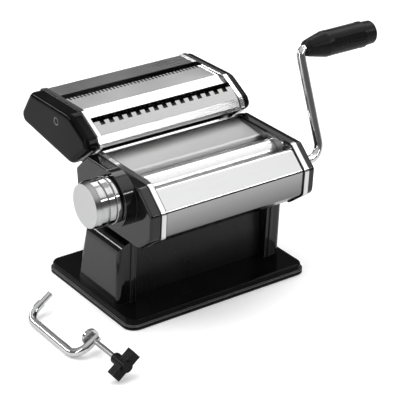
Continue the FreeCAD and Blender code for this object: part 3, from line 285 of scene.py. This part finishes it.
def knob_silver(centre_y, centre_z):
    """Satin alloy whose end face is turned in fine circles round the knob's axis."""
    m = Nodes("knob_silver", Metallic=1.0)
    here = m.split()
    across = m.maths("SUBTRACT", here["Y"], centre_y)
    upward = m.maths("SUBTRACT", here["Z"], centre_z)
    squares = m.maths("ADD", m.maths("MULTIPLY", across, across), m.maths("MULTIPLY", upward, upward))
    place = m.add("ShaderNodeCombineXYZ")
    m.feed(place, "X", m.maths("MULTIPLY", m.maths("SQRT", squares), 5200.0))
    m.feed(place, "Y", m.maths("MULTIPLY", here["X"], 1500.0))
    rings = m.noise(1.0, 5.0, 0.65, place.outputs["Vector"])
    clouds = m.noise(25.0, 4.0)
    m.set_colour(m.blend(m.remap(rings, 0.3, 0.7, 0.0, 1.0), grey(0.60, 0.006), grey(0.70, 0.006)))
    m.set_roughness(m.maths("ADD", m.remap(rings, 0.3, 0.7, 0.26, 0.34),
                            m.remap(clouds, 0.4, 0.7, 0.0, 0.05)))
    m.set_bump((rings, 0.00003, 0.25))
    return m.material


def knob_alloy():
    """Polished side of the knob, with the tool's fine turning rings."""
    m = Nodes("knob_alloy", Metallic=1.0)
    rings = m.noise(1.0, 3.0, 0.5, m.stretched((1600.0, 20.0, 20.0)))
    m.set_colour(m.blend(m.remap(rings, 0.35, 0.65, 0.0, 1.0), grey(0.52, 0.004), grey(0.60, 0.004)))
    m.set_roughness(m.remap(rings, 0.3, 0.7, 0.07, 0.12))
    return m.material


def bronze():
    """Oil-filled bronze with a fine porous grain."""
    m = Nodes("bronze", Metallic=1.0)
    pores = m.noise(1400.0, 3.0, 0.7)
    stain = m.noise(120.0, 4.0)
    m.set_colour(m.blend(m.remap(stain, 0.35, 0.7, 0.0, 1.0), (0.50, 0.34, 0.16, 1), (0.30, 0.19, 0.09, 1)))
    m.set_roughness(m.remap(pores, 0.3, 0.7, 0.28, 0.46))
    m.set_bump((pores, 0.00005, 0.3))
    return m.material


def moulded_black(name, level, rough, texture_scale, ior):
    """Moulded plastic with a spark-eroded fine texture and worn high spots."""
    m = Nodes(name, Metallic=0.0, IOR=ior)
    pebbles = m.noise(texture_scale, 3.0, 0.6)
    rub = m.noise(45.0, 5.0)
    m.set_colour(m.blend(m.remap(rub, 0.4, 0.7, 0.0, 1.0), grey(level), grey(level * 1.7)))
    m.set_roughness(m.maths("ADD", m.remap(pebbles, 0.3, 0.7, rough, rough + 0.1),
                            m.remap(rub, 0.4, 0.7, 0.05, 0.0)))
    m.set_bump((pebbles, 0.00006, 0.3))
    return m.material


def black_paint():
    """Satin black paint on sheet steel, with a light orange peel."""
    m = Nodes("black_paint", Metallic=0.0, IOR=1.5, Specular_IOR_Level=0.3)
    peel = m.noise(700.0, 3.0)
    clouds = m.noise(24.0, 5.0)
    m.set_colour(m.blend(m.remap(clouds, 0.35, 0.7, 0.0, 1.0), grey(0.009), grey(0.014)))
    m.set_roughness(m.remap(clouds, 0.3, 0.7, 0.24, 0.34))
    m.set_bump((peel, 0.00006, 0.2))
    return m.material


def rubber():
    """Soft black rubber with a dusty bloom."""
    m = Nodes("rubber", Metallic=0.0, IOR=1.5)
    grit = m.noise(2200.0, 4.0, 0.7)
    bloom = m.noise(90.0, 5.0)
    m.set_colour(m.blend(m.remap(bloom, 0.4, 0.75, 0.0, 1.0), grey(0.018), grey(0.045)))
    m.set_roughness(m.remap(grit, 0.3, 0.7, 0.62, 0.82))
    m.set_bump((grit, 0.00008, 0.4))
    return m.material


def make_materials():
    """One material for each slot of the record."""
    low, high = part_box("knob")
    knob_y, knob_z = (low.y + high.y) / 2, (low.z + high.z) / 2
    return {
        "gloss_black": gloss_black(),
        "chrome_sheet": chrome("chrome_sheet", 0.82, ALONG_X, 0.13),
        "brushed_plate": brushed("brushed_plate", 0.52, ALONG_X, 0.24),
        "roller_steel": turned_steel("roller_steel", 0.66, 0.16),
        "machined_steel": brushed("machined_steel", 0.46, ACROSS_X, 0.30),
        "bearing_bronze": bronze(),
        "satin_silver": knob_silver(knob_y, knob_z),
        "polished_rod": bright_rod(),
        "black_grip": moulded_black("black_grip", 0.006, 0.20, 900.0, 1.22),
        "black_panel": black_paint(),
        "comb_plastic": moulded_black("comb_plastic", 0.006, 0.34, 1100.0, 1.22),
        "foot_rubber": rubber(),
    }


def special_finishes():
    """Nodes whose finish differs a little from the rest of their slot; several of them carry painted shade
    or a painted highlight.
    """
    trim = trim_chrome()
    # painted shade: the cutting rollers and the cutter's belly get a near-black steel, standing in for the
    # shade inside the cutter seen between the teeth
    painted_shade_steel = turned_steel("cutting_steel", 0.06, 0.34)
    # deep_black: its corners carry a stronger painted highlight, a grey of 0.28
    deep = gloss_black("deep_black", 1.16, 0.28, 1.5 * MM)
    return {
        "front_cover": cover_sheet(),
        "knob": knob_alloy(),
        "hopper_plate": brushed("satin_sheet", 0.50, ALONG_X, 0.34, 0.03),
        "ridge_plate": brushed("ridge_sheet", 0.92, ALONG_X, 0.29, 0.02, 0.00001),
        "cutter_front_plate": brushed("front_sheet", 0.43, ALONG_X, 0.20, 0.02, 0.00001),
        "cutter_rear_cover": brushed("rear_sheet", 0.40, ALONG_X, 0.27, 0.02, 0.00001),
        **dict.fromkeys(("trim_left", "trim_right", "cutter_trims"), trim),
        **dict.fromkeys(("fine_roller_front", "fine_roller_rear", "wide_roller_front", "wide_roller_rear",
                         "cutter_belly"), painted_shade_steel),
        **dict.fromkeys(("cutter_cap_left", "cutter_cap_right", "cutter_cap_screws", "base_tray"), deep),
    }


def dress_nodes(materials, extra):
    """Gives each CAD node its material; extra overrides the record's slot for some nodes."""
    for name, thing in frame["nodes"].items():
        material = extra.get(name) or materials[SLOT_OF[name]]
        for slot in thing.material_slots:
            slot.material = material
        if not thing.material_slots:
            thing.data.materials.append(material)


# ---------------------------------------------------------------- studio

def make_floor():
    """A pale floor. Seen in a mirror it is greyer, like the dark studio beyond a white sweep."""
    place = (0.0, 0.0, CAD_BOX[0].z - FLOOR_DROP)
    bpy.ops.mesh.primitive_plane_add(size=FLOOR_SIZE, location=place)
    floor = bpy.context.object
    floor.name = "studio_floor"
    m = Nodes("studio_floor", Metallic=0.0, Specular_IOR_Level=0.1)
    mirrored = m.add("ShaderNodeLightPath").outputs["Is Glossy Ray"]
    m.set_colour(m.blend(mirrored, grey(FLOOR_GREY), grey(MIRRORED_FLOOR_GREY)))
    m.set_roughness(m.remap(m.noise(3.0, 3.0), 0.3, 0.7, 0.6, 0.7))
    m.feed(m.shader, "Emission Color", grey(1.0))
    m.feed(m.shader, "Emission Strength", m.remap(mirrored, 0.0, 1.0, FLOOR_GLOW, MIRRORED_FLOOR_GLOW))
    floor.data.materials.append(m.material)


def make_world():
    """A dim surround, lighter overhead, so that the metal has dark tones to mirror between the lights."""
    world = bpy.data.worlds.new("studio")
    world.use_nodes = True
    bpy.context.scene.world = world
    tree = world.node_tree
    where = tree.nodes.new("ShaderNodeTexCoord")
    split = tree.nodes.new("ShaderNodeSeparateXYZ")
    ramp = tree.nodes.new("ShaderNodeValToRGB")
    tree.links.new(where.outputs["Generated"], split.inputs["Vector"])
    tree.links.new(split.outputs["Z"], ramp.inputs["Fac"])
    ramp.color_ramp.elements.remove(ramp.color_ramp.elements[1])
    for place, level in SKY:
        element = ramp.color_ramp.elements.new(place) if place else ramp.color_ramp.elements[0]
        element.position = place
        element.color = grey(level)
    background = tree.nodes["Background"]
    tree.links.new(ramp.outputs["Color"], background.inputs["Color"])
    background.inputs["Strength"].default_value = 1.0


def turn_towards(thing, aim):
    """Points a lamp or camera from where it stands at a place."""
    thing.rotation_mode = "QUATERNION"
    thing.rotation_quaternion = (Vector(aim) - thing.location).to_track_quat("-Z", "Y")


def softbox(name, place, width, height, brightness, mirrored=True):
    """A rectangular light turned towards the machine; an unmirrored one leaves no reflection in it."""
    data = bpy.data.lights.new(name, "AREA")
    data.shape = "RECTANGLE"
    data.size = width
    data.size_y = height
    data.energy = brightness * math.pi * width * height
    lamp = bpy.data.objects.new(name, data)
    lamp.location = place
    turn_towards(lamp, LIGHT_AIM)
    lamp.visible_glossy = mirrored
    bpy.context.scene.collection.objects.link(lamp)


def make_lights():
    softbox("key", (0.85, -0.45, 1.35), 1.4, 1.1, 0.80)
    softbox("ridge_light", (0.85, 0.62, 1.35), 1.4, 0.55, 2.4)
    softbox("overhead", (-0.45, 0.1, 1.6), 1.3, 1.4, 3.4, mirrored=False)
    softbox("left_strip", (-1.5, -0.35, 0.75), 0.22, 1.2, 5.0)
    softbox("front_line", (0.85, -1.15, 0.92), 1.2, 0.07, 16.0)
    softbox("back_line", (-0.95, 1.25, 0.78), 1.2, 0.09, 16.0)
    softbox("rear_glow", (0.95, 1.45, 0.42), 1.6, 0.25, 0.7)


def make_camera():
    data = bpy.data.cameras.new("camera")
    data.sensor_width = CAMERA_SENSOR
    data.lens = CAMERA_LENS
    data.clip_start = 0.05
    data.clip_end = 60.0
    camera = bpy.data.objects.new("camera", data)
    camera.location = CAMERA_PLACE
    turn_towards(camera, CAMERA_AIM)
    bpy.context.scene.collection.objects.link(camera)
    bpy.context.scene.camera = camera


def set_tone():
    """A plain, neutral tone curve, so that the pale floor comes out nearly white."""
    view = bpy.context.scene.view_settings
    view.view_transform = "Standard"
    view.look = "None"


dress_nodes(make_materials(), special_finishes())
make_floor()
make_world()
make_lights()
make_camera()
set_tone()
